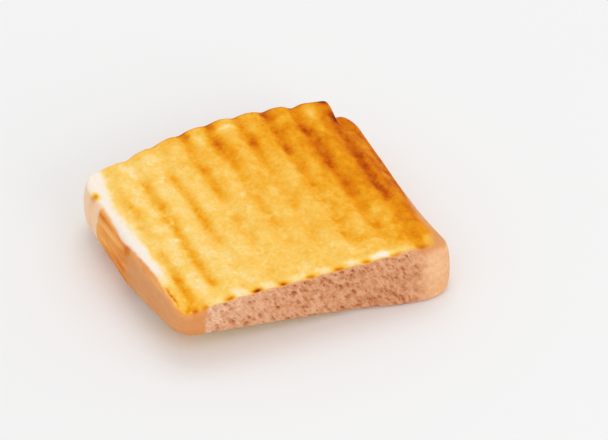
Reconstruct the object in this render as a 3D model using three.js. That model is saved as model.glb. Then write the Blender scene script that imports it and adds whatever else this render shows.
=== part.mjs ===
// One thick slice of toast from a square sandwich loaf, marked by the ribs of a contact grill.
// It lies on its underside. X runs across the grill grooves, Y along them, from the cut crumb side
// in front to the domed crust behind, and Z is up. Sizes are millimetres.
import * as THREE from 'three';

const { clamp, lerp, smoothstep } = THREE.MathUtils;

// The slice before its crust bulges and its corners are squashed.
const sliceWidth = 102.6;
const sliceDepth = 86.8;
const sliceHeight = 22;
const halfWidth = sliceWidth / 2;
const halfDepth = sliceDepth / 2;
const halfHeight = sliceHeight / 2;

// The facets: columns across the grooves, rows along them and levels up the sides.
const columns = 84;
const rows = 16;
const levels = 10;

// Radii of the edges round the top face and round the underside, and of the corners in plan.
const topEdge = { left: 2, right: 4, front: 1.2, back: 1.6 };
const bottomEdge = { left: 7.5, right: 3, front: 1.6, back: 5 };
const planCorner = { frontLeft: 7, frontRight: 9, backLeft: 7, backRight: 10 };

// The crust behind is domed, as the top of a loaf is, and all of the crust bulges a little.
const dome = { rise: 11, centre: 11.5, reach: 56, curve: 1.6 };
const crustBulge = 1.5;

// The left side bows out, lower down nearer to the front, and the right one widens in front.
const bow = { out: 2.6, reach: 52, lowCentre: -2, highCentre: 17, lowLength: 46, highLength: 60 };
const widening = { out: 3.4, length: 40, reach: 9 };

// The grooves that the grill's ribs pressed, from the left crust to the right one.
const rib = { first: -44.2, pitch: 10.87, halfWidth: 2.5 };
const ribDepths = [0.8, 1.0, 0.9, 0.9, 0.9, 1.1, 1.1, 1.6, 1.6];
const ribFade = { nearFront: 0.55, length: 30 };
const grooveReachDown = 9;

// Behind, the last groove runs out in a deeper notch beside it.
const notch = { x: 46.2, halfWidth: 2.1, depth: 3.6, start: 20, end: 40 };

// Beyond the last groove the top face falls to the right crust, more steeply behind.
const shoulder = {
  front: { start: 44, end: 54, drop: 3 },
  back: { start: 43.2, end: 47.5, drop: 3.6 },
};

// The left front corner is squashed: its top dips, its underside lifts and its sides lean in.
const squash = { reachX: 84, reachY: 44, curve: 1.05, lift: 6, leanX: 1.2, leanY: 4.4 };
const dip = { depth: 3.2, reachX: 18, reachY: 12 };

// The cut side in front leans out at the bottom towards its right end.
const flare = { lean: 3.5, start: 14, end: 44 };

// Shallow grooves of the lower grill plate, which stop short of the sides. Between them lie flat
// strips: a groove ends where its bell curve falls to the share called edge.
const underGroove = { depth: 0.7, halfWidth: 1.8, margin: 14, edge: 0.06 };

// Unevenness of the baked surface, and of the open crumb on the cut side.
const waviness = 0.35;
const crumbRelief = 0.45;

// A bell curve: 1 at the middle of a groove, and near 0 beyond twice its half width.
function bell(distance, half) {
  return Math.exp(-((distance / half) ** 2));
}

// Where two faces of the box meet, this moves a point onto a rounded edge. The point is at a and b
// from the middle of the box, whose faces are at the limits.
function roundedEdge(a, b, limitA, limitB, radius) {
  const p = 1 - (limitA - Math.abs(a)) / radius;
  const q = 1 - (limitB - Math.abs(b)) / radius;
  if (p <= 0 || q <= 0) return [a, b];
  const inA = limitA - radius + radius * p * Math.sqrt(1 - (q * q) / 2);
  const inB = limitB - radius + radius * q * Math.sqrt(1 - (p * p) / 2);
  return [Math.sign(a) * inA, Math.sign(b) * inB];
}

// Gathers the evenly spaced lines of the grid towards its two ends, where the edges are round.
function gathered(value, half) {
  return half * Math.sin((value / half) * (Math.PI / 2));
}

function roundEdges(point) {
  const edge = point.z > 0 ? topEdge : bottomEdge;
  const sideRadius = point.x < 0 ? edge.left : edge.right;
  const endRadius = point.y < 0 ? edge.front : edge.back;
  [point.x, point.z] = roundedEdge(point.x, point.z, halfWidth, halfHeight, sideRadius);
  [point.y, point.z] = roundedEdge(point.y, point.z, halfDepth, halfHeight, endRadius);
  const front = point.x < 0 ? planCorner.frontLeft : planCorner.frontRight;
  const back = point.x < 0 ? planCorner.backLeft : planCorner.backRight;
  const cornerRadius = point.y < 0 ? front : back;
  [point.x, point.y] = roundedEdge(point.x, point.y, halfWidth, halfDepth, cornerRadius);
}

// The groove that is nearest to a place across the slice, and how far that place is from it.
function nearestGroove(x) {
  const index = clamp(Math.round((x - rib.first) / rib.pitch), 0, ribDepths.length - 1);
  return { index, distance: x - rib.first - index * rib.pitch };
}

// How far the top face lies below its highest level.
function topFall(x, y) {
  const back = clamp(y / sliceDepth + 0.5, 0, 1);
  const groove = nearestGroove(x);
  const nearNotch = smoothstep(y, notch.start, notch.end);
  const isLast = groove.index === ribDepths.length - 1;
  const fade = lerp(ribFade.nearFront, 1, smoothstep(y + halfDepth, 0, ribFade.length));
  const depth = ribDepths[groove.index] * fade * (isLast ? 1 - nearNotch : 1);
  const grooved = depth * bell(groove.distance, rib.halfWidth);
  const notched = notch.depth * bell(x - notch.x, notch.halfWidth) * nearNotch;

  const start = lerp(shoulder.front.start, shoulder.back.start, back);
  const end = lerp(shoulder.front.end, shoulder.back.end, back);
  const drop = lerp(shoulder.front.drop, shoulder.back.drop, back) * smoothstep(x, start, end);
  const dipX = 1 - smoothstep(x + halfWidth, 0, dip.reachX);
  const dipY = 1 - smoothstep(y + halfDepth, 0, dip.reachY);
  return grooved + notched + drop + dip.depth * dipX * dipY;
}

// How far the underside lies above the plane that the slice rests on, before its corner is squashed.
function underRise(x, y) {
  const inX = smoothstep(halfWidth - Math.abs(x), underGroove.margin / 2, underGroove.margin);
  const inY = smoothstep(halfDepth - Math.abs(y), underGroove.margin / 2, underGroove.margin);
  const share = bell(nearestGroove(x).distance, underGroove.halfWidth) - underGroove.edge;
  return underGroove.depth * Math.max(0, share) * inX * inY;
}

// Slow unevenness, from -1 to 1.
function wave(x, y, z) {
  return (
    Math.sin(0.11 * x + 0.07 * y + 1.3) * 0.4 +
    Math.sin(0.17 * y - 0.09 * x + 0.13 * z) * 0.35 +
    Math.sin(0.23 * x + 0.31 * y + 0.19 * z + 2.1) * 0.25
  );
}

// The open crumb of the cut side, from -1 to 1, in cells that slant down to the right.
function crumb(x, z) {
  const cells = Math.sin(1.35 * x + 1.1 * z) * Math.sin(0.62 * x - 1.5 * z + 0.9);
  return 0.6 * cells + 0.4 * Math.sin(0.83 * x + 1.9 * z + 2.4);
}

// How far the left side bows out at a place along it.
function bowOut(x, y, level) {
  const centre = lerp(bow.lowCentre, bow.highCentre, level);
  const along = (y - centre) / lerp(bow.lowLength, bow.highLength, level);
  const fromLeft = smoothstep(x + halfWidth, 0, bow.reach);
  return bow.out * Math.max(0, 1 - along * along) * (1 - fromLeft);
}

function widenOut(x, y) {
  const nearFront = Math.max(0, 1 - (y + halfDepth) / widening.length);
  return widening.out * nearFront ** 2 * smoothstep(x, halfWidth - widening.reach, halfWidth);
}

// Takes a point of the plain box to its place on the slice.
function shapePoint(point) {
  point.y = gathered(point.y, halfDepth);
  point.z = gathered(point.z, halfHeight);
  roundEdges(point);

  const { x, y } = point;
  const level = clamp(point.z / sliceHeight + 0.5, 0, 1);
  const back = (y + halfDepth) / sliceDepth;
  const midLevel = 4 * level * (1 - level);
  const cornerShare = 1 - (x + halfWidth) / squash.reachX - (y + halfDepth) / squash.reachY;
  const squashed = Math.max(0, cornerShare) ** squash.curve * (1 - level);

  // Heights: the top face falls by all of its depth, the sides below it by less and less.
  let z = level * sliceHeight;
  const nearTop = smoothstep(z, sliceHeight - grooveReachDown, sliceHeight);
  z -= topFall(x, y) * lerp(level * 0.6, 1, nearTop);
  if (level === 0) z += underRise(x, y);
  z += waviness * wave(x, y, z) * level + squash.lift * squashed;

  // Plan: the crust bulges out on three sides, and the cut side in front leans.
  const outX = Math.sign(x) * (Math.abs(x) / halfWidth) ** 6;
  const outY = Math.max(0, y / halfDepth) ** 6;
  const domed = dome.rise * (1 - Math.abs((x - dome.centre) / dome.reach) ** dome.curve) * back ** 2;
  const lean = flare.lean * smoothstep(x, flare.start, flare.end) * (1 - level) * (1 - back) ** 3;
  const onFront = smoothstep(1.2 - halfDepth - y, 0, 1.2);
  const relief = onFront * crumbRelief * crumb(x, z) * midLevel;
  point.set(
    x - bowOut(x, y, level) + widenOut(x, y) + outX * crustBulge * midLevel + squash.leanX * squashed,
    y + domed + outY * crustBulge * midLevel + squash.leanY * squashed - lean + relief,
    z,
  );
}

// The slice, with its origin under its middle in the plane that it rests on.
function toastGeometry() {
  const geometry = new THREE.BoxGeometry(sliceWidth, sliceDepth, sliceHeight, columns, rows, levels);
  geometry.deleteAttribute('normal');
  geometry.deleteAttribute('uv');
  const position = geometry.getAttribute('position');
  const point = new THREE.Vector3();
  for (let i = 0; i < position.count; i += 1) {
    point.fromBufferAttribute(position, i);
    shapePoint(point);
    position.setXYZ(i, point.x, point.y, point.z);
  }
  geometry.computeBoundingBox();
  const { min, max } = geometry.boundingBox;
  return geometry.translate(-(min.x + max.x) / 2, -(min.y + max.y) / 2, -min.z);
}

const toastedBread = new THREE.MeshStandardMaterial({ color: 0xe9a94a, roughness: 0.8, metalness: 0 });

const toast = new THREE.Mesh(toastGeometry(), toastedBread);
toast.name = 'toast';

const part = new THREE.Group();
part.add(toast);

export default part;
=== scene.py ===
"""One thick slice of grilled toast, lying on its underside on a plain pale floor.

The slice is one closed mesh. Its shape is worked out in millimetres, from a box whose points are
moved by functions, and is turned into metres when the mesh is made. X runs across the grooves, Y
along them from the cut crumb side in front to the domed crust behind, and Z is up. Its colours
come from fields that are stored on the mesh, such as how brown the toasted faces are.
"""
from itertools import product
from math import cos, pi, radians, sin

import bpy
import numpy as np
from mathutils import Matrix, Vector


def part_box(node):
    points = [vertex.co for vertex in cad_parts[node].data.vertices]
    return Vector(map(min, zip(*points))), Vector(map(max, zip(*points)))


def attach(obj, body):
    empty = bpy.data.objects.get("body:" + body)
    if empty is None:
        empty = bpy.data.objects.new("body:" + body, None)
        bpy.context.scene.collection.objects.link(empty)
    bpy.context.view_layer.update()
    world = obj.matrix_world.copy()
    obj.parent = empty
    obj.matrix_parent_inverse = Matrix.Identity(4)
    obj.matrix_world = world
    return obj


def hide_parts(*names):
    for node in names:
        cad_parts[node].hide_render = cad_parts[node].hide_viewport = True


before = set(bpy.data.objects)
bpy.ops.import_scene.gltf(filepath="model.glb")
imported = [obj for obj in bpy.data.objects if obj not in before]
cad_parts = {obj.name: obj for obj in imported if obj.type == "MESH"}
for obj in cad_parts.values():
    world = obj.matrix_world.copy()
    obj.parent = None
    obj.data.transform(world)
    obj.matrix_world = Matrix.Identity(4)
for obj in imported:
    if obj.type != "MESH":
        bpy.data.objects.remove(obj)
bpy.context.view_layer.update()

MM = 0.001


def smoothstep(value, low, high):
    part = np.clip((value - low) / (high - low), 0, 1)
    return part * part * (3 - 2 * part)


def lerp(a, b, share):
    return a + (b - a) * share


def bell(distance, half):
    """1 at the middle, and near 0 beyond twice the half width."""
    return np.exp(-((distance / half) ** 2))


# Profiles. Each of these makes a function that takes a value to a share from 0 to 1.
def rise(low, high):
    return lambda value: smoothstep(value, low, high)


def fall(low, high):
    return lambda value: 1 - smoothstep(value, low, high)


def hump(middle, half):
    return lambda value: bell(value - middle, half)


def gap(middle, half):
    return lambda value: 1 - bell(value - middle, half)


def between(start, full, fading, end):
    return lambda value: smoothstep(value, start, full) * (1 - smoothstep(value, fading, end))


def anywhere(value):
    return 1


def strength_at(row, *fields):
    """A row is a strength and some profiles: the strength times each profile of its field."""
    strength, *profiles = row
    for profile, field in zip(profiles, fields):
        strength = strength * profile(field)
    return strength


def summed(rows, *fields):
    return sum(strength_at(row, *fields) for row in rows)


# The slice before its crust bulges and its corners are squashed.
WIDTH, DEPTH, HEIGHT = 102.6, 86.8, 22.0
HALF = np.array((WIDTH, DEPTH, HEIGHT)) / 2

# Cells along X, Y and Z, how far their lines gather towards the edges, and how many of them one
# face takes in on the right, behind and below.
CELLS = (320, 144, 60)
GATHER = (0.35, 0.35, 0.45)
COARSE = 2

# Radii of the edges round the top face and the underside, and of the corners in plan.
TOP_EDGE = {"left": 2.0, "right": 4.0, "front": 1.2, "back": 1.6}
BOTTOM_EDGE = {"left": 7.5, "right": 3.0, "front": 1.6, "back": 5.0}
PLAN_CORNER = {"front_left": 7.0, "front_right": 9.0, "back_left": 7.0, "back_right": 10.0}

# The grill's ribs: the first groove, the distance to the next, and the grooves' depths. At the
# front edge a groove has only a share of its depth.
RIB_FIRST, RIB_PITCH, RIB_HALF_WIDTH = -44.2, 10.87, 2.5
RIB_DEPTHS = np.array((0.8, 1.0, 0.9, 0.9, 0.9, 1.1, 1.1, 1.6, 1.6))
RIB_FADE = {"near_front": 0.55, "length": 30}

# How far down the sides the grooves fade, and the share of them that is left there.
GROOVE_REACH = {"down": 9, "below": 0.6}

# Behind, the last groove runs out in a deeper notch beside it.
NOTCH_ALONG = rise(20, 40)
NOTCH = (3.6, hump(46.2, 2.1), NOTCH_ALONG)

# Beyond the last groove the top face falls to the right crust: in front, and more steeply behind.
SHOULDER = {"drop": (3.0, 3.6), "start": (44, 43.2), "end": (54, 47.5)}

# The left front corner is squashed: its top dips, its underside lifts and its sides lean in.
DIP = {"depth": 3.2, "reach_x": 18, "reach_y": 12}
SQUASH = {"reach_x": 84, "reach_y": 44, "curve": 1.05, "lift": 7, "lean_x": 1.2, "lean_y": 4.4}

# Shallow grooves of the underside, which stop short of the sides, with flat strips between them.
UNDER_GROOVE = {"depth": 0.7, "half": 1.8, "margin": 14, "edge": 0.06}
ON_UNDERSIDE = 1e-6

# Slow unevenness: the share of each wave, how fast it turns along X, Y and Z, and where it starts.
WAVES = ((0.4, 0.11, 0.07, 0, 1.3), (0.35, -0.09, 0.17, 0.13, 0), (0.25, 0.23, 0.31, 0.19, 2.1))
WAVINESS = 0.35

# The crust behind is domed, fuller on the left, and all of the crust bulges a little.
DOME = {"rise": 11, "middle": 11.5, "reach": 56, "curve": 1.6}
DOME_FULLER = (1.5, hump(-8, 20))
CRUST_BULGE, BULGE_CURVE = 1.5, 6

# The left side bows out, about a middle and over a length that differ at the bottom and at the
# top, and the right side widens in front.
BOW = {"out": 2.6, "reach": 52, "middle": (-2, 17), "length": (46, 60)}
WIDENING = {"out": 3.4, "length": 40, "reach": 9}

# The cut side in front leans out at the bottom towards its right end.
LEAN = (3.5, rise(14, 44))

# The left back corner stands out to the left and to the back, and so does the last ridge's back
# end to the right: where across the slice, along it and up it.
CORNER_OUT = (1.1, fall(-50, -30), rise(8, 40))
CORNER_BACK = (1.4, hump(-46, 6), rise(25, 43))
RIDGE_END = (1.5, hump(42.6, 2.4), rise(33, 40), rise(0.6, 1))

# Noise fields: the size of their features, one or along X, Y and Z, their seed and their layers.
GRAINS = {
    "mark_wander": (12, 5, 1), "mark": ((4, 5, 5), 20, 3), "spot": (1.5, 91, 1), "patch": (3, 95, 3),
    "blotches": ((6, 8, 6), 3, 3), "speckles": ((2.6, 3.2, 2.8), 9, 3),
    "flecks": ((2.6, 3.6, 3), 15, 3), "front_end": (1.6, 31, 1), "pale_ridge": ((9, 5, 5), 41, 3),
    "band": (5, 13, 3), "side": (2.4, 51, 3), "crumb_end": (3, 61, 3), "crumb_edge": (1.8, 63, 3),
    "lip": (4, 141, 1), "crack": (2.4, 143, 3), "crust_blotches": ((12, 12, 6), 101, 3),
    "crust_streaks": ((14, 14, 1.6), 103, 3), "crust_speckles": ((5, 5, 3), 107, 3),
    "pale_end": (5, 109, 1), "wedge_end": (4, 105, 3), "wedge_patches": ((18, 18, 7), 113, 3),
    "wedge_streaks": ((9, 11, 2.2), 103, 3), "cell_bend": (2.2, 200, 1), "wall_bend": (2, 210, 1),
    "cells": ((2.4, 2, 1.1), 111, 2), "wide_walls": ((2.8, 2, 0.95), 121, 1),
    "narrow_walls": ((1.7, 2, 1.1), 123, 1), "crumb_blotches": ((9, 9, 6), 127, 3),
    "pits": (1.1, 131, 2), "toasted_relief": (2.2, 71, 3), "crust_relief": ((9, 9, 2.5), 81, 3),
}

# Broad tones of the toasted faces: how strong, where across the slice and where along it.
BASE_BROWNING = 0.29
BROAD_TONES = (
    (0.11, rise(-40, 4)), (-0.03, fall(-25, -5)), (0.04, anywhere, rise(0, 45)),
    (-0.05, hump(5, 25), hump(-30, 14)), (0.22, rise(10, 44), rise(-48, 10)),
    (0.10, rise(32, 44), fall(-25, 10)), (0.07, rise(28, 42), hump(-35, 6)),
    (0.03, hump(24, 10), rise(14, 30)), (0.03, fall(-22, -10), rise(26, 40)),
    (0.14, hump(-50, 3), fall(-34, -18)), (0.08, hump(-46, 5), hump(-41, 5)),
    (0.10, rise(44.5, 47), between(-36, -26, 12, 22)), (-0.10, hump(46.5, 3), hump(-38, 3)),
    (-0.10, hump(48.2, 2), hump(-9, 5)), (0.06, hump(26.5, 3), hump(25, 13)),
)

# The last ridge is burnt where it ends, behind: the same values.
BURNT_END = (
    (0.09, hump(43.6, 1.6), between(33, 38, 42, 46)), (0.20, hump(43.8, 1.7), hump(39.5, 2.83)),
    (0.28, hump(43.0, 1.3), hump(49.2, 1.3)),
)

# The right edge is darker behind: where over the edge, and where along it.
RIGHT_EDGE_TONE = (0.09, hump(0, 1.6), rise(-4, 6))

# Where the ribs browned the slice: the groove, where the mark starts and ends along it, and how
# strong it is.
MARKS = (
    (0, -40, -16, 0.26), (0, -46, -28, 0.08), (0, -13, -8, 0.18), (0, 2, 30, 0.14),
    (1, -36, 32, 0.22), (1, -30, -14, 0.05),
    (2, -12, 34, 0.17), (2, -4, 10, 0.06), (2, -42, -22, 0.08),
    (3, 36, 54, 0.11), (3, 12, 36, 0.19), (3, -14, 4, 0.10), (3, -34, -20, 0.06),
    (4, 32, 54, 0.14), (4, -10, 32, 0.10),
    (5, 34, 54, 0.18), (5, 20, 34, 0.10), (5, -30, 16, 0.05),
    (6, 14, 56, 0.15), (6, -32, 14, 0.05),
    (7, 40, 52, 0.07), (7, -4, 40, 0.17), (7, -34, -8, 0.04),
    (8, 26, 40, 0.09), (8, -12, 26, 0.18), (8, -40, -12, 0.05),
)

# A mark's half width, how gently it starts and ends, how far it wanders, and how ragged it is, on
# the left and in the last two grooves.
MARK_HALF_WIDTH, MARK_FADE, MARK_WANDER = 2.2, 5, 0.8
MARK_RAGGED = {"left": 0.5, "last": 0.2}
LAST_MARKS = (7, 8)

# How far the marks lie to the left of their grooves: where across the slice, and along it.
MARK_SHIFT = (1.2, hump(-24, 16), fall(28, 46))

# Single darker spots: the place along X and Y, their radius and how strong they are.
SPOTS = (
    (-1.5, 41, 2.8, 0.14), (2.5, 34.5, 1.4, 0.16), (10, 38, 1.6, 0.12), (20.8, 29.5, 1.9, 0.11),
    (31, 38, 2.0, 0.12), (33.5, 30, 1.5, 0.10), (31.5, 17, 1.7, 0.10), (20, -24, 1.8, 0.12),
    (32.5, -23, 2.0, 0.14), (-46, 8, 1.3, 0.12), (-11, 50.5, 1.8, 0.22), (0, 52, 1.8, 0.22),
    (21, 6.5, 1.2, 0.14), (20.6, 51.4, 1.5, 0.20), (41.8, -41.6, 1.9, 0.16),
    (-34.6, 8.5, 2.2, 0.12), (-35.0, -11, 2.4, 0.12), (-3.4, 36, 2.2, 0.12), (39.5, 12, 1.8, 0.06),
    (26.5, -28, 4.5, 0.09), (-38.5, 9, 2.6, 0.09), (-6, 10, 2.6, 0.07), (-45.5, -25, 1.5, 0.10),
    (-34.5, -30, 2.0, 0.08), (-47.7, -40.6, 1.2, 0.30), (-45.3, -41.8, 1.3, 0.34),
    (-41.6, -42.3, 1.2, 0.34),
)
SPOT_SQUEEZE, SPOT_RAGGED = 0.8, 0.5

# Pale patches: the place along X and Y, their radii along them and how pale they are.
PATCHES = (
    (27.5, -40.6, 6.5, 1.6, 0.34), (16, -40.4, 3.5, 1.5, 0.16), (5, -40.6, 3.4, 1.6, 0.14),
    (-6, -40.6, 3.2, 1.7, 0.16), (-16.5, -40.6, 3.2, 1.7, 0.12), (-27, -40.6, 3.2, 1.8, 0.10),
    (5.3, 49, 3.6, 1.5, 0.26), (-6.6, 45.5, 2, 3.5, 0.16), (-16.5, 44, 2.5, 4, 0.08),
    (36.6, 44, 2.8, 4.5, 0.22), (26.5, 46, 2.5, 4, 0.14), (37, 12, 2.5, 10, 0.05),
    (-1, -37, 9, 3, 0.07), (37.3, -8, 3, 5, 0.07), (37.5, 36, 2.5, 3, 0.06),
    (-38, 39, 4, 4, 0.12), (-27.5, 43, 3, 4, 0.10), (26, 18, 3, 6, 0.05), (-17, 22, 2.5, 8, 0.03),
    (-28.5, 30, 2.6, 8, 0.04), (-6, 22, 2.5, 6, 0.05), (-12, 5, 5, 4, 0.07), (-5, 11, 4, 3, 0.05),
    (24, 8, 3, 4, 0.05),
)
PATCH_RAGGED = 0.6

# The mottle: its two strengths, and its contrast on the left and on the right of a slanting line.
BLOTCHES, SPECKLES = 0.10, 0.11
MOTTLE_SLANT, MOTTLE_RIGHT, MOTTLE_CONTRAST = 0.5, rise(0, 30), (0.82, 1.08)

# Pale flecks, fewer towards the right back corner: where the noise is, and across the same line.
FLECKS = (0.12, rise(0.25, 0.7), fall(-10, 45))

# How dark the grooves' ends are at the front edge, and where: over the edge, and off the groove.
FRONT_ENDS = np.array((0.0, 0.50, 0.64, 0.50, 0.42, 0.42, 0.32, 0.34, 0.20))
FRONT_END = (1, hump(-1.25, 1.45), hump(0, 2.0))
FRONT_END_TORN = 0.4

# On the left the grooves' front ends lie off their grooves by this much.
FRONT_END_SHIFT = (1.6, fall(-32, 0))

# Tones at the back edge: where over the edge, across the slice and off the groove.
BACK_TONES = (
    (0.06, rise(-1.6, 0.4)), (0.10, rise(-1.6, 0.4), rise(-40, -15)),
    (0.24, rise(-1.6, 0.4), rise(-40, -10), hump(0, 2.2)),
)

# Pale ridges at the front edge: where over it, across the slice, off the groove and in the noise.
PALE_RIDGES = (0.11, rise(-6, -1), rise(-40, -34), gap(0, 2.6), rise(-0.7, 0.2))

# The untoasted band along the left edge: its width along Y, its ragged inner edge, and how much
# of it is lost near the front.
BAND_WIDTH = ((3.4,), (3.4, rise(22, 42)), (0.7, hump(-10, 10)))
BAND_RAGGED, BAND_EDGE, BAND_LOST = 1.3, rise(-2.5, 1.0), (0.88, fall(-28, -15))

# The one browned spot in the pale corner, behind on the left, on the top face and on the crust.
CORNER_SPOT = (1, hump(-53.7, 1.44), hump(30.6, 2.10))
CORNER_SPOT_TONE = {"toasted": 0.62, "crust": 0.55}
# The lip's cracks are painted browner on the top face, as painted shade in them.
CRACK_TONE = 0.40

# Where the left crust ends on the top face: the place along Y, and how far in from the edge.
CRUST_EDGE = (
    (-44, 2.0), (-38, 1.2), (-29, 1.3), (-24, 1.6), (-17, 1.9), (-1, 0.4), (6, -0.8), (16, 0.7),
    (25, 1.4), (34, 0),
)

# The same for the right crust, along Y, for the front, along X, and for the edges below.
RIGHT_CRUST_EDGE = ((2.6, fall(-32, 0)), (2.4, fall(-42, -32)), (-2.4, rise(-16, 2)))
FRONT_CRUST_EDGE = ((0.9,), (1.1, fall(-46, -39)))
UNDER_CRUST_EDGE = {"left": 1.5, "right": 1.5, "front": 2.2, "back": 1.5}

# How ragged and how soft the crust's edge is, and how much softer in the right front corner.
CRUST_EDGE_RAGGED, CRUST_EDGE_SOFT = 0.5, 0.4
CRUST_EDGE_SOFTER = (2.0, rise(24, 42), fall(-32, 0))
CRUST_EDGE_START, CRUST_EDGE_END = 0.1, 1.1

# Where the cut crumb shows: by the distance from the front, left and right sides of the box, and
# over the front edge, which is counted from a little further in, on the top and below.
CRUMB_IN_FRONT, CRUMB_FROM_LEFT, CRUMB_FROM_RIGHT = fall(1.5, 2.0), rise(9.5, 11), rise(5, 15)
CRUMB_OVER_EDGE, CRUMB_EDGE_IN = rise(0.5, 1.1), {"top": 0.9, "below": 2.2}
CRUMB_RAGGED = {"ends": 0.9, "edges": 0.4}

# The ragged lip on the left edge: where along it, and how it and its cracks lie across the edge.
LIP_ALONG, LIP_WANDER = between(-38.5, -36, -29, -26), 0.5
LIP_ACROSS, CRACK_ACROSS, CRACK_TORN = hump(-0.3, 0.55), hump(-1.5, 0.65), rise(-0.35, 0.15)

# Where the left crust lies, and the corner in front on the right.
ON_LEFT, ON_RIGHT, IN_FRONT = fall(-47, -40), rise(34, 42), fall(-36, -20)

# Tones of the crust: how strong, where across the slice, along it, and down the side.
BASE_CRUST = 0.60
CRUST_TONES = (
    (0.11, hump(-40, 9), hump(-42, 9)), (0.07, ON_LEFT, hump(-3, 6)), (0.05, ON_LEFT, fall(-30, -5)),
    (0.26, hump(-45.8, 1.4), hump(-42, 1.4), hump(0, 1.4)),
    (0.40, ON_LEFT, hump(0.5, 2.0), hump(2.4, 1.67)), (-0.11, ON_RIGHT, IN_FRONT),
)
CRUST_BLOTCHES, CRUST_STREAKS, CRUST_SPECKLES = 0.06, 0.05, 0.05

# The pale crust round the left back corner. On the back crust it ends in a soft ragged line.
PALE_CRUST, PALE_STREAKS, PALE_SEAM = 0.18, 0.06, (0.08, hump(0.8, 0.9))
PALE_ON_BACK, PALE_ALONG_BACK, PALE_END_RAGGED = 34, fall(-48, -22), 2

# The right front corner: the crumb's pale web on it, and its darker rim under the top face.
WEB, WEB_ALONG = 0.07, fall(-39, -34)
RIM = (0.24, hump(0, 2.2))

# The bright orange wedge on the left crust: where along it, and where it ends behind, in a ragged
# line that slants with the depth down the side. Its orange is the crust's own colour, and it is
# painted brighter than the rest of the side as painted light, where this part faces the light.
WEDGE_ALONG, WEDGE_END = rise(-6, 3), rise(22, 24.5)
WEDGE_END_SLANT, WEDGE_END_RAGGED = 0.12, 0.8

# The wedge's brown knot, its seam under the top face, which reaches further to the front, and
# patches of its colour on the crust that isn't seen: where across, along and down the side.
KNOT = (1, ON_LEFT, hump(-0.8, 2.4), hump(2.2, 2.18))
WEDGE_SEAM = (0.7, ON_LEFT, fall(0, 12), hump(0.5, 1.4))
WEDGE_PATCHES = (0.5, rise(-30, 0), rise(-38, -20))
WEDGE_PATCH = rise(-0.1, 0.6)

# The wedge's streaks: how dark they are, how much they vary and slant, and where along the crust
# and down the side they are darker.
BASE_STREAK, STREAK_RANGE, STREAK_SLANT, KNOT_STREAK = 0.52, 0.44, 1.2, 0.6
STREAK_TONES = (
    (0.12, anywhere, rise(5, 12)), (0.35, rise(8, 17), hump(2.2, 1.2)), (0.22, fall(1, 12)),
)

# The crumb's cells: their slant in degrees, their depth where the noise is high, and how far they
# and the walls between them are bent.
CELL_SLANT, CELL_DEPTH, CELL_BEND, WALL_BEND = -56, (0.6, rise(0, 0.7)), 0.4, 0.6

# Large pores: how many, half their length, their width as a share of it, how far their slant
# varies in degrees, how deep they are, their soft rim, and how far past the box they lie on the
# right, where the slice is wider.
PORE_SEED, PORE_COUNT, PORE_LENGTH, PORE_WIDTH = 7, 140, (0.8, 1.9), (0.42, 0.6)
PORE_TURN, PORE_DEPTH, PORE_RIM, PORE_PAST_RIGHT = 14, (0.4, 1), rise(0, 0.8), 4

# How thin the walls are between the wide and the narrow cells.
WALL_THINNESS = {"wide_walls": 3.2, "narrow_walls": 3.6}

# Tones of the crumb across the slice, how strong its blotches are, and where the noise makes pits.
CRUMB_TONES = ((0.41,), (0.12, rise(-24, 6)), (0.04, rise(6, 34)), (-0.14, hump(-38, 3.5)))
CRUMB_BLOTCHES = 0.10
PITS = rise(0.32, 0.75)

# Heights of the relief, in millimetres.
RELIEF = {
    "toasted": 0.10, "pit": -0.16, "wall": 0.14, "pore": -0.5, "crumb": -0.15, "crust": 0.14,
    "web": 0.05, "lip": 0.45, "crack": -0.5,
}


def hashed(cell, seed):
    """A value from -1 to 1 for each cell of a lattice, the same in each run."""
    x, y, z = (cell[..., i].astype(np.uint64) for i in range(3))
    mixed = x * np.uint64(0x9E3779B185EBCA87) ^ y * np.uint64(0xC2B2AE3D27D4EB4F)
    mixed ^= z * np.uint64(0x165667B19E3779F9) ^ np.uint64(seed * 0x27D4EB2F165667C5 % 2**64)
    mixed ^= mixed >> np.uint64(29)
    mixed *= np.uint64(0xBF58476D1CE4E5B9)
    mixed ^= mixed >> np.uint64(32)
    return (mixed & np.uint64(0xFFFFFF)).astype(float) / 0x7FFFFF - 1


def noise(points, size, seed):
    """Smooth noise from -1 to 1 with features of about the size given."""
    scaled = points / np.asarray(size, float) + 1000.0
    cell = np.floor(scaled).astype(np.int64)
    part = scaled - cell
    part = part * part * (3 - 2 * part)
    total = np.zeros(len(points))
    for corner in product((0, 1), repeat=3):
        weight = np.prod(np.where(corner, part, 1 - part), axis=-1)
        total += weight * hashed(cell + np.array(corner), seed)
    return total


def grain(name, points, shift=0):
    """A field of GRAINS: noise, with finer and weaker noise on it for each further layer."""
    size, seed, layers = GRAINS[name]
    size = np.asarray(size, float)
    total = sum(noise(points, size / 2**i, seed + shift + i) / 2**i for i in range(layers))
    return total / (2 - 2 ** (1 - layers))


def rounded_edge(a, b, limit_a, limit_b, radius):
    """Moves points near the edge where two faces meet onto a rounded edge."""
    p = 1 - (limit_a - np.abs(a)) / radius
    q = 1 - (limit_b - np.abs(b)) / radius
    near = (p > 0) & (q > 0)
    in_a = limit_a - radius + radius * p * np.sqrt(np.maximum(0, 1 - q * q / 2))
    in_b = limit_b - radius + radius * q * np.sqrt(np.maximum(0, 1 - p * p / 2))
    return np.where(near, np.sign(a) * in_a, a), np.where(near, np.sign(b) * in_b, b)


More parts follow.
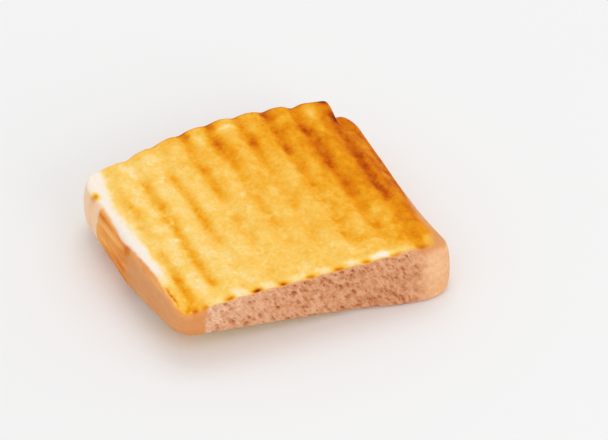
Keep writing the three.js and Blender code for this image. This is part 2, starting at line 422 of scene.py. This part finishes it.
def round_edges(x, y, z):
    left, front, top = x < 0, y < 0, z > 0

    def pick(name):
        return np.where(top, TOP_EDGE[name], BOTTOM_EDGE[name])

    side = np.where(left, pick("left"), pick("right"))
    end = np.where(front, pick("front"), pick("back"))
    x, z = rounded_edge(x, z, HALF[0], HALF[2], side)
    y, z = rounded_edge(y, z, HALF[1], HALF[2], end)
    at_front = np.where(left, PLAN_CORNER["front_left"], PLAN_CORNER["front_right"])
    at_back = np.where(left, PLAN_CORNER["back_left"], PLAN_CORNER["back_right"])
    x, y = rounded_edge(x, y, HALF[0], HALF[1], np.where(front, at_front, at_back))
    return x, y, z


def nearest_groove(x):
    """The index of the nearest groove, and the distance from it."""
    index = np.clip(np.round((x - RIB_FIRST) / RIB_PITCH), 0, len(RIB_DEPTHS) - 1).astype(int)
    return index, x - RIB_FIRST - index * RIB_PITCH


def top_fall(x, y):
    """How far the top face lies below its highest level."""
    back = np.clip(y / DEPTH + 0.5, 0, 1)
    index, distance = nearest_groove(x)
    fade = lerp(RIB_FADE["near_front"], 1, smoothstep(y + HALF[1], 0, RIB_FADE["length"]))
    into_notch = np.where(index == len(RIB_DEPTHS) - 1, 1 - NOTCH_ALONG(y), 1)
    grooved = RIB_DEPTHS[index] * fade * into_notch * bell(distance, RIB_HALF_WIDTH)
    drop, start, end = (lerp(*SHOULDER[name], back) for name in ("drop", "start", "end"))
    shoulder = drop * smoothstep(x, start, end)
    dip_x = 1 - smoothstep(x + HALF[0], 0, DIP["reach_x"])
    dip_y = 1 - smoothstep(y + HALF[1], 0, DIP["reach_y"])
    return grooved + strength_at(NOTCH, x, y) + shoulder + DIP["depth"] * dip_x * dip_y


def under_rise(x, y):
    """How far the underside lies above the plane that the slice rests on."""
    margin = UNDER_GROOVE["margin"]
    in_x = smoothstep(HALF[0] - np.abs(x), margin / 2, margin)
    in_y = smoothstep(HALF[1] - np.abs(y), margin / 2, margin)
    share = bell(nearest_groove(x)[1], UNDER_GROOVE["half"]) - UNDER_GROOVE["edge"]
    return UNDER_GROOVE["depth"] * np.maximum(0, share) * in_x * in_y


def wave(x, y, z):
    """Slow unevenness, from -1 to 1."""
    return sum(share * np.sin(a * x + b * y + c * z + start) for share, a, b, c, start in WAVES)


def bow_out(x, y, level):
    """How far the left side bows out at a place along it."""
    along = (y - lerp(*BOW["middle"], level)) / lerp(*BOW["length"], level)
    near_left = 1 - smoothstep(x + HALF[0], 0, BOW["reach"])
    return BOW["out"] * np.maximum(0, 1 - along * along) * near_left


def widen_out(x, y):
    """How far the right side widens in front."""
    near_front = np.maximum(0, 1 - (y + HALF[1]) / WIDENING["length"])
    near_right = smoothstep(x, HALF[0] - WIDENING["reach"], HALF[0])
    return WIDENING["out"] * near_front**2 * near_right


def dome_out(x):
    """How far the back edge domes out at a place across the slice."""
    from_middle = np.abs((x - DOME["middle"]) / DOME["reach"])
    return DOME["rise"] * (1 - from_middle ** DOME["curve"]) + strength_at(DOME_FULLER, x)


def shaped(box):
    """Takes points of the plain box to their places on the slice."""
    x, y, z = round_edges(*box.T)
    level = np.clip(z / HEIGHT + 0.5, 0, 1)
    back = (y + HALF[1]) / DEPTH
    from_corner = (x + HALF[0]) / SQUASH["reach_x"] + (y + HALF[1]) / SQUASH["reach_y"]
    squashed = np.maximum(0, 1 - from_corner) ** SQUASH["curve"] * (1 - level)

    # Heights: the top face falls by all of its depth, the sides below it by less and less.
    height = level * HEIGHT
    near_top = smoothstep(height, HEIGHT - GROOVE_REACH["down"], HEIGHT)
    height -= top_fall(x, y) * lerp(level * GROOVE_REACH["below"], 1, near_top)
    height += np.where(level < ON_UNDERSIDE, under_rise(x, y), 0)
    height += WAVINESS * wave(x, y, height) * level + SQUASH["lift"] * squashed

    # Plan: the crust bulges out on three sides, and the cut side in front leans.
    bulge = CRUST_BULGE * 4 * level * (1 - level)
    out_x = np.sign(x) * (np.abs(x) / HALF[0]) ** BULGE_CURVE
    out_y = np.maximum(0, y / HALF[1]) ** BULGE_CURVE
    across = x - bow_out(x, y, level) + widen_out(x, y) + out_x * bulge + SQUASH["lean_x"] * squashed
    across += strength_at(RIDGE_END, x, y, level) - strength_at(CORNER_OUT, x, y)
    lean = strength_at(LEAN, x) * (1 - level) * np.maximum(0, 1 - back) ** 3
    along = y + dome_out(x) * back**2 + out_y * bulge + SQUASH["lean_y"] * squashed - lean
    along += strength_at(CORNER_BACK, x, y)
    return np.column_stack((across, along, height))


def grid_lines(half, cells, gather):
    even = np.linspace(-1, 1, cells + 1)
    return half * ((1 - gather) * even + gather * np.sin(even * pi / 2))


def ring(i, j, step, end_i, end_j):
    """The corners of one cell of a face, with the points between them along the face's border."""
    points = []
    points += [(i + k, j) for k in range(step if j == 0 else 1)]
    points += [(i + step, j + k) for k in range(step if i + step == end_i else 1)]
    points += [(i + step - k, j + step) for k in range(step if j + step == end_j else 1)]
    points += [(i, j + step - k) for k in range(step if i == 0 else 1)]
    return points


def face_cells(axis, side, step):
    """The cells of one face of the box, as rings of lattice points that turn outwards."""
    first, second = (axis + 1) % 3, (axis + 2) % 3
    for i in range(0, CELLS[first], step):
        for j in range(0, CELLS[second], step):
            points = []
            for a, b in ring(i, j, step, CELLS[first], CELLS[second]):
                point = [0, 0, 0]
                point[axis] = CELLS[axis] * side
                point[first], point[second] = a, b
                points.append(tuple(point))
            yield points if side else points[::-1]


def box_surface():
    """The points of the box's surface, and its faces."""
    fine, coarse = 1, COARSE
    steps = {(2, 1): fine, (1, 0): fine, (0, 0): fine, (0, 1): coarse, (1, 1): coarse, (2, 0): coarse}
    index, faces = {}, []
    for (axis, side), step in steps.items():
        for points in face_cells(axis, side, step):
            faces.append([index.setdefault(point, len(index)) for point in points])
    lattice = np.array(list(index))
    lines = [grid_lines(HALF[i], CELLS[i], GATHER[i]) for i in range(3)]
    return np.column_stack([lines[i][lattice[:, i]] for i in range(3)]), faces


def normals_of(points, faces):
    """Unit normals at the points, from the faces round them."""
    total = np.zeros_like(points)
    for count in set(map(len, faces)):
        corners = np.array([face for face in faces if len(face) == count])
        around = points[corners]
        across = np.cross(around, np.roll(around, -1, axis=1)).sum(axis=1)
        for i in range(count):
            np.add.at(total, corners[:, i], across)
    return total / np.linalg.norm(total, axis=1, keepdims=True)


def make_mesh(name, points, faces):
    mesh = bpy.data.meshes.new(name)
    mesh.from_pydata((points * MM).tolist(), [], faces)
    mesh.polygons.foreach_set("use_smooth", [True] * len(faces))
    mesh.update()
    piece = bpy.data.objects.new(name, mesh)
    bpy.context.scene.collection.objects.link(piece)
    return piece


def store(piece, name, values):
    attribute = piece.data.attributes.new(name, "FLOAT", "POINT")
    attribute.data.foreach_set("value", np.asarray(values, np.float32))


def over_edges(box):
    """How far a point lies over an edge of the top face, or of the underside: the depth down the
    side, or minus the way to the edge."""
    x, y, z = box.T
    below = HALF[2] - np.abs(z)
    return {
        "left": below - (x + HALF[0]),
        "right": below - (HALF[0] - x),
        "front": below - (y + HALF[1]),
        "back": below - (HALF[1] - y),
    }


def groove_marks(place):
    """The brown lines that the ribs left."""
    x, y, _ = place.T
    wander = MARK_WANDER * grain("mark_wander", place)
    total = 0
    for groove, start, end, strength in MARKS:
        along = between(start - MARK_FADE, start + MARK_FADE, end - MARK_FADE, end + MARK_FADE)(y)
        raggedness = MARK_RAGGED["last" if groove in LAST_MARKS else "left"]
        ragged = 1 + raggedness * grain("mark", place, groove)
        middle = RIB_FIRST + groove * RIB_PITCH + wander
        middle -= strength_at(MARK_SHIFT, middle, y)
        total += strength * along * ragged * bell(x - middle, MARK_HALF_WIDTH)
    return total


def dark_spots(place):
    x, y, _ = place.T
    ragged = SPOT_RAGGED * grain("spot", place)
    total = 0
    for spot_x, spot_y, radius, strength in SPOTS:
        away = np.hypot(x - spot_x, (y - spot_y) * SPOT_SQUEEZE) + ragged
        total += strength * bell(away, radius)
    return total


def pale_patches(place):
    x, y, _ = place.T
    ragged = 1 + PATCH_RAGGED * grain("patch", place)
    total = 0
    for patch_x, patch_y, reach_x, reach_y, strength in PATCHES:
        total += strength * ragged * bell(x - patch_x, reach_x) * bell(y - patch_y, reach_y)
    return total


def mottling(place):
    """The uneven browning of the whole face, with its pale flecks."""
    x, y, _ = place.T
    slanting = x + MOTTLE_SLANT * y
    mottle = BLOTCHES * grain("blotches", place) + SPECKLES * grain("speckles", place)
    contrast = lerp(*MOTTLE_CONTRAST, MOTTLE_RIGHT(slanting))
    return mottle * contrast - strength_at(FLECKS, grain("flecks", place), slanting)


def edge_tones(edges, place):
    """The dark ends of the grooves in front and behind, and the pale ridges between them in front."""
    x, y, _ = place.T
    index, distance = nearest_groove(x)
    torn = FRONT_END_TORN * grain("front_end", place)
    aside = distance - strength_at(FRONT_END_SHIFT, x)
    level = FRONT_ENDS[index] * strength_at(FRONT_END, edges["front"] + torn, aside + torn)
    level += summed(BACK_TONES, edges["back"], x, distance)
    level += strength_at(RIGHT_EDGE_TONE, edges["right"], y)
    return level - strength_at(PALE_RIDGES, edges["front"], x, aside, grain("pale_ridge", place))


def untoasted_band(edges, place):
    """The untoasted band along the left edge, which is widest at the back corner: 1 inside it."""
    y = place[:, 1]
    inside = edges["left"] + summed(BAND_WIDTH, y) + BAND_RAGGED * grain("band", place)
    return BAND_EDGE(inside) * (1 - strength_at(BAND_LOST, y))


def browning(box, place, cracks):
    """How brown the toasted faces are, from 0, untoasted, to 1, burnt, with painted shade in the lip's
    cracks.
    """
    x, y, _ = place.T
    edges = over_edges(box)
    level = BASE_BROWNING + summed(BROAD_TONES, x, y) + summed(BURNT_END, x, y)
    level += groove_marks(place) + dark_spots(place) - pale_patches(place)
    level += mottling(place) + edge_tones(edges, place)
    corner_spot = CORNER_SPOT_TONE["toasted"] * strength_at(CORNER_SPOT, x, y)
    toasted = level * (1 - untoasted_band(edges, place))
    return np.clip(toasted + corner_spot + CRACK_TONE * cracks, 0, 1)


def side_share(box, place):
    """Where the sides begin, with a ragged edge: 0 on the toasted faces and 1 on the sides."""
    x, y, z = box.T
    on_top = z > 0
    top_edge = {
        "left": np.interp(y, *zip(*CRUST_EDGE)), "right": summed(RIGHT_CRUST_EDGE, y),
        "front": summed(FRONT_CRUST_EDGE, x), "back": 0,
    }
    over = [
        over + np.where(on_top, top_edge[name], UNDER_CRUST_EDGE[name])
        for name, over in over_edges(box).items()
    ]
    sides = np.maximum.reduce(over) + CRUST_EDGE_RAGGED * grain("side", place)
    soft = CRUST_EDGE_SOFT + strength_at(CRUST_EDGE_SOFTER, x, y) * on_top
    return smoothstep(sides, CRUST_EDGE_START - soft, CRUST_EDGE_END + soft / 2)


def crumb_share(box, place):
    """Where the cut crumb shows: the side in front, between the crusts that wrap its corners."""
    x, y, z = box.T
    ragged = CRUMB_RAGGED["ends"] * grain("crumb_end", place)
    within = CRUMB_FROM_LEFT(x + HALF[0] + ragged) * CRUMB_FROM_RIGHT(HALF[0] - x + ragged)
    over = over_edges(box)["front"] + np.where(z > 0, CRUMB_EDGE_IN["top"], CRUMB_EDGE_IN["below"])
    over += CRUMB_RAGGED["edges"] * grain("crumb_edge", place)
    return CRUMB_IN_FRONT(y + HALF[1]) * within * CRUMB_OVER_EDGE(over)


def lip_field(box, place):
    """Two values: how far the ragged lip on the left edge stands up, and how deep its cracks are."""
    across = over_edges(box)["left"] + LIP_WANDER * grain("lip", place)
    along = LIP_ALONG(place[:, 1]) * (box[:, 2] > 0)
    return along * LIP_ACROSS(across), along * CRACK_TORN(grain("crack", place)) * CRACK_ACROSS(across)


def depth_down(box):
    """How far a point lies below the level of the top face."""
    return HALF[2] - box[:, 2]


def behind_wedge(box, place):
    """1 behind the line where the wedge ends and the pale crust begins, and 0 in front of it."""
    slanting = place[:, 1] - WEDGE_END_SLANT * depth_down(box)
    return WEDGE_END(slanting + WEDGE_END_RAGGED * grain("wedge_end", place))


def crust_tone(box, place, walls):
    """How dark the crust is, from 0, pale, to 1, dark brown."""
    x, y, _ = place.T
    down = depth_down(box)
    streaks = grain("crust_streaks", place)
    tone = BASE_CRUST + summed(CRUST_TONES, x, y, down) + CRUST_STREAKS * streaks
    tone += CRUST_BLOTCHES * grain("crust_blotches", place)
    tone += CRUST_SPECKLES * grain("crust_speckles", place)

    along_back = PALE_ALONG_BACK(x - PALE_END_RAGGED * grain("pale_end", place))
    pale = np.where(y < PALE_ON_BACK, ON_LEFT(x), along_back) * behind_wedge(box, place)
    pale_tone = PALE_CRUST + PALE_STREAKS * streaks + strength_at(PALE_SEAM, down)
    tone = lerp(tone, pale_tone, pale)

    corner = ON_RIGHT(x) * IN_FRONT(y)
    tone += corner**2 * strength_at(RIM, down) - WEB * walls * corner * WEB_ALONG(y)
    tone += CORNER_SPOT_TONE["crust"] * strength_at(CORNER_SPOT, x, y)
    return np.clip(tone, 0, 1)


def wedge_field(box, place):
    """The bright orange wedge behind on the left side, its brightness partly painted light: where it
    is, and how dark its streaks are.
    """
    x, y, z = place.T
    down = depth_down(box)
    knot = strength_at(KNOT, x, y, down)
    share = np.maximum.reduce([
        ON_LEFT(x) * WEDGE_ALONG(y) * (1 - behind_wedge(box, place)),
        strength_at(WEDGE_SEAM, x, y, down),
        strength_at(WEDGE_PATCHES, x, y) * WEDGE_PATCH(grain("wedge_patches", place)),
        knot,
    ])
    slanting = np.column_stack((x, y + STREAK_SLANT * z, z))
    streaks = BASE_STREAK + STREAK_RANGE * grain("wedge_streaks", slanting)
    streaks += KNOT_STREAK * knot + summed(STREAK_TONES, y, down)
    return share, np.clip(streaks, 0, 1)


def slanted(place):
    """Coordinates on the cut side that run along and across its slanting cells."""
    x, _, z = place.T
    turn = radians(CELL_SLANT)
    along, across = x * cos(turn) + z * sin(turn), z * cos(turn) - x * sin(turn)
    return np.column_stack((along, np.zeros(len(place)), across))


def bent(place, name, amount):
    """The slanted coordinates, bent by noise."""
    return slanted(place) + amount * np.column_stack([grain(name, place, i) for i in range(3)])


def pore_field(place, share):
    """How deep the pores of the cut crumb are at each point, from 0 to 1; the colour is also darkened
    by it, as painted shade in the pores.
    """
    rng = np.random.default_rng(PORE_SEED)
    depth = strength_at(CELL_DEPTH, grain("cells", bent(place, "cell_bend", CELL_BEND)))
    near = np.flatnonzero(share > 0)
    across, up = place[near, 0], place[near, 2]
    for _ in range(PORE_COUNT):
        x, z = rng.uniform(-HALF[0], HALF[0] + PORE_PAST_RIGHT), rng.uniform(0, HEIGHT)
        long = rng.uniform(*PORE_LENGTH)
        short = long * rng.uniform(*PORE_WIDTH)
        angle = radians(rng.normal(CELL_SLANT, PORE_TURN))
        strength = rng.uniform(*PORE_DEPTH)
        close = np.flatnonzero((abs(across - x) < long) & (abs(up - z) < long))
        dx, dz = across[close] - x, up[close] - z
        a = (dx * cos(angle) + dz * sin(angle)) / long
        b = (dz * cos(angle) - dx * sin(angle)) / short
        inside = PORE_RIM(1 - a * a - b * b)
        depth[near[close]] = np.maximum(depth[near[close]], strength * inside)
    return depth * share


def wall_field(place):
    """Where the thin pale walls between the cells of the crumb run, from 0 to 1."""
    points = bent(place, "wall_bend", WALL_BEND)
    walls = [1 - thin * np.abs(grain(name, points)) for name, thin in WALL_THINNESS.items()]
    return np.clip(np.maximum.reduce(walls), 0, 1)


def crumb_tone(place):
    """How brown the crumb is between its pores and walls, from 0 to 1."""
    return summed(CRUMB_TONES, place[:, 0]) + CRUMB_BLOTCHES * grain("crumb_blotches", place)


def relief_of(place, fields, toasted, crust):
    """How far the surface stands out from the smooth shape, in millimetres."""
    walls, pores, crumb = fields["wall"], fields["pore"], fields["crumb"]
    on_toasted = RELIEF["toasted"] * grain("toasted_relief", place) + RELIEF["pit"] * fields["pit"]
    on_crumb = RELIEF["wall"] * walls + RELIEF["pore"] * pores + RELIEF["crumb"]
    on_crust = RELIEF["crust"] * grain("crust_relief", place) + RELIEF["web"] * walls
    on_lip = RELIEF["lip"] * fields["lip"] + RELIEF["crack"] * fields["crack"]
    return toasted * on_toasted + crumb * on_crumb + crust * on_crust + on_lip


def centred(place):
    """Moves the points over the middle of the solid's box, to rest on its plane."""
    low, high = np.array(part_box("toast")) / MM
    middle = (place.min(axis=0) + place.max(axis=0)) / 2
    shift = (low + high) / 2 - middle
    return place + (shift[0], shift[1], -place[:, 2].min())


def make_slice():
    box, faces = box_surface()
    place = shaped(box)
    side, crumb = side_share(box, place), crumb_share(box, place)
    lip, cracks = lip_field(box, place)
    wedge, streaks = wedge_field(box, place)
    walls = wall_field(place)
    fields = {
        "browning": browning(box, place, cracks), "crust": side, "crumb": crumb,
        "crust_tone": crust_tone(box, place, walls), "crumb_tone": crumb_tone(place),
        "pore": pore_field(place, crumb), "wall": walls, "pit": PITS(grain("pits", place)),
        "lip": lip, "crack": cracks, "wedge": wedge, "streak": streaks,
    }
    relief = relief_of(place, fields, (1 - side) * (1 - crumb), side * (1 - crumb))
    place = centred(place + normals_of(place, faces) * relief[:, None])

    piece = make_mesh("toast_slice", place, faces)
    for name, values in fields.items():
        store(piece, name, values)
    piece.data.materials.append(baked_bread())
    return piece


def linear(red, green, blue):
    """A colour from its usual 0 to 255 values."""
    def channel(value):
        share = value / 255
        return share / 12.92 if share <= 0.04045 else ((share + 0.055) / 1.055) ** 2.4
    return (channel(red), channel(green), channel(blue), 1)


class Nodes:
    """Makes and links the nodes of one material."""

    def __init__(self, name):
        self.material = bpy.data.materials.new(name)
        self.material.use_nodes = True
        self.tree = self.material.node_tree
        self.tree.nodes.clear()

    def add(self, kind, inputs=None, **settings):
        node = self.tree.nodes.new(kind)
        for name, value in settings.items():
            setattr(node, name, value)
        for name, value in (inputs or {}).items():
            if isinstance(value, bpy.types.NodeSocket):
                self.tree.links.new(value, node.inputs[name])
            else:
                node.inputs[name].default_value = value
        return node

    def attribute(self, name):
        return self.add("ShaderNodeAttribute", attribute_name=name).outputs["Fac"]

    def math(self, operation, a, b):
        return self.add("ShaderNodeMath", {0: a, 1: b}, operation=operation).outputs[0]

    def times(self, name, factor):
        """A field of the mesh, times a factor."""
        return self.math("MULTIPLY", self.attribute(name), factor)

    def noise(self, vector, scale, detail):
        inputs = {"Vector": vector, "Scale": scale, "Detail": detail, "Roughness": 0.55}
        return self.add("ShaderNodeTexNoise", inputs).outputs["Fac"]

    def ramp(self, factor, stops):
        node = self.add("ShaderNodeValToRGB", {"Fac": factor})
        elements = node.color_ramp.elements
        while len(elements) < len(stops):
            elements.new(0.5)
        for element, (position, colour) in zip(elements, stops):
            element.position, element.color = position, colour
        return node.outputs["Color"]

    def mix(self, factor, a, b):
        node = self.add("ShaderNodeMix", {"Factor": factor}, data_type="RGBA")
        for socket, value in zip((node.inputs[6], node.inputs[7]), (a, b)):
            self.tree.links.new(value, socket)
        return node.outputs[2]

    def varied(self, base, vector, scale, amount, detail=3):
        """The base value with noise on it, as much either way as the amount."""
        spread = self.math("SUBTRACT", self.noise(vector, scale, detail), 0.5)
        return self.math("ADD", base, self.math("MULTIPLY", spread, 2 * amount))


TOASTED = (
    (0.00, linear(250, 238, 226)), (0.16, linear(252, 228, 172)), (0.30, linear(252, 208, 108)),
    (0.42, linear(248, 188, 70)), (0.50, linear(245, 172, 40)), (0.60, linear(235, 150, 14)),
    (0.70, linear(222, 126, 6)), (0.80, linear(200, 92, 2)), (0.90, linear(162, 62, 4)),
    (1.00, linear(96, 36, 12)),
)
CRUST = (
    (0.0, linear(255, 228, 204)), (0.30, linear(253, 208, 162)), (0.50, linear(236, 178, 130)),
    (0.62, linear(228, 162, 108)), (0.76, linear(224, 148, 84)), (0.88, linear(206, 126, 56)),
    (1.0, linear(168, 88, 28)),
)
# The wedge's colours: the crust's own orange, painted brighter as painted light where the left side
# faces the light.
WEDGE_WITH_PAINTED_LIGHT = (
    (0.0, linear(255, 206, 136)), (0.4, linear(254, 188, 106)), (0.7, linear(244, 162, 82)),
    (1.0, linear(226, 126, 40)),
)
# The crumb's colours, from its pale walls to its dark end, which is painted shade in the pores.
CRUMB = (
    (0.0, linear(252, 216, 186)), (0.25, linear(234, 180, 142)), (0.5, linear(214, 150, 108)),
    (0.75, linear(186, 112, 70)), (1.0, linear(146, 76, 38)),
)


def baked_bread():
    """The look of the whole slice: four colour ramps, mixed by the fields of the mesh."""
    nodes = Nodes("baked_bread")
    point = nodes.add("ShaderNodeTexCoord").outputs["Object"]

    level = nodes.varied(nodes.attribute("browning"), point, scale=700, amount=0.10, detail=2)
    # The pits are painted a little browner, as painted shade in them.
    toasted = nodes.ramp(nodes.math("ADD", level, nodes.times("pit", 0.06)), TOASTED)

    # The crust is painted darker in the lip's cracks, as painted shade, and paler on the raised lip.
    crack_shade_and_pale_lip = nodes.math("SUBTRACT", nodes.times("crack", 0.5), nodes.times("lip", 0.35))
    tone = nodes.math("ADD", nodes.attribute("crust_tone"), crack_shade_and_pale_lip)
    crust = nodes.ramp(nodes.varied(tone, point, scale=500, amount=0.08), CRUST)
    # The wedge is painted brighter than the crust round it, as painted light, on top of its own orange.
    wedge = nodes.ramp(nodes.varied(nodes.attribute("streak"), point, scale=500, amount=0.10), WEDGE_WITH_PAINTED_LIGHT)
    crust = nodes.mix(nodes.attribute("wedge"), crust, wedge)

    # The crumb is painted darker in its pores and cells, as painted shade in them, and paler on its
    # walls.
    cells = nodes.math("SUBTRACT", nodes.times("pore", 0.38), nodes.times("wall", 0.24))
    cells = nodes.math("ADD", cells, nodes.attribute("crumb_tone"))
    crumb = nodes.ramp(nodes.varied(cells, point, scale=900, amount=0.10), CRUMB)
    colour = nodes.mix(nodes.attribute("crust"), toasted, crust)
    colour = nodes.mix(nodes.attribute("crumb"), colour, crumb)

    rough = nodes.math("ADD", nodes.times("crumb", 0.15), 0.7)
    grain_height = nodes.noise(point, scale=2200, detail=2)
    bump = nodes.add("ShaderNodeBump", {"Strength": 0.6, "Distance": 0.25 * MM, "Height": grain_height})
    shader = nodes.add("ShaderNodeBsdfPrincipled", {
        "Base Color": colour, "Roughness": nodes.varied(rough, point, scale=300, amount=0.1),
        "Normal": bump.outputs[0], "Specular IOR Level": 0.05,
    })
    nodes.add("ShaderNodeOutputMaterial", {"Surface": shader.outputs[0]})
    return nodes.material


def pale_floor():
    nodes = Nodes("pale_floor")
    shader = nodes.add("ShaderNodeBsdfPrincipled", {
        "Base Color": (0.89, 0.89, 0.89, 1), "Roughness": 0.9, "Specular IOR Level": 0.2,
    })
    nodes.add("ShaderNodeOutputMaterial", {"Surface": shader.outputs[0]})
    return nodes.material


# The photograph's viewing angle, from the left and from above, the point that the camera looks at
# and how far away it stands, in metres, and its lens and sensor in millimetres.
AZIMUTH, ELEVATION = radians(23.28), radians(38.58)
TARGET = Vector((10.08, -16.64, 22)) * MM
DISTANCE, LENS, SENSOR = 3.6, 595.6, 36

# The floor reaches this far each way, in metres.
FLOOR_REACH = 6.0

# The even light from all round, and soft lamps: their place and size in metres, and their watts.
SURROUND = 0.82
SOFTBOXES = {
    "softbox_above": ((0.25, 0.55, 1.3), 0.9, 3.0),
    "softbox_front": ((0.3, -1.2, 0.6), 0.8, 3.5),
}


def add_camera():
    away = Vector((-sin(AZIMUTH) * cos(ELEVATION), -cos(AZIMUTH) * cos(ELEVATION), sin(ELEVATION)))
    data = bpy.data.cameras.new("camera")
    data.lens, data.sensor_width = LENS, SENSOR
    camera = bpy.data.objects.new("camera", data)
    camera.location = TARGET + away * DISTANCE
    camera.rotation_euler = away.to_track_quat("Z", "Y").to_euler()
    bpy.context.scene.collection.objects.link(camera)
    bpy.context.scene.camera = camera


def add_floor():
    turns = ((-1, -1), (1, -1), (1, 1), (-1, 1))
    corners = [(x * FLOOR_REACH, y * FLOOR_REACH, 0) for x, y in turns]
    mesh = bpy.data.meshes.new("floor")
    mesh.from_pydata(corners, [], [(0, 1, 2, 3)])
    floor = bpy.data.objects.new("floor", mesh)
    bpy.context.scene.collection.objects.link(floor)
    mesh.materials.append(pale_floor())


def add_softbox(name, place, size, watts):
    data = bpy.data.lights.new(name, "AREA")
    data.shape, data.size, data.energy = "DISK", size, watts
    lamp = bpy.data.objects.new(name, data)
    lamp.location = place
    lamp.rotation_euler = Vector(place).to_track_quat("Z", "Y").to_euler()
    bpy.context.scene.collection.objects.link(lamp)


def add_light():
    world = bpy.data.worlds.new("studio")
    world.use_nodes = True
    background = world.node_tree.nodes["Background"].inputs
    background["Color"].default_value = (1, 1, 1, 1)
    background["Strength"].default_value = SURROUND
    bpy.context.scene.world = world
    for name, (place, size, watts) in SOFTBOXES.items():
        add_softbox(name, place, size, watts)
    bpy.context.scene.view_settings.view_transform = "Standard"


def main():
    add_camera()
    add_floor()
    add_light()
    piece = make_slice()
    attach(piece, "root")
    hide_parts("toast")
    bpy.context.view_layer.update()


main()
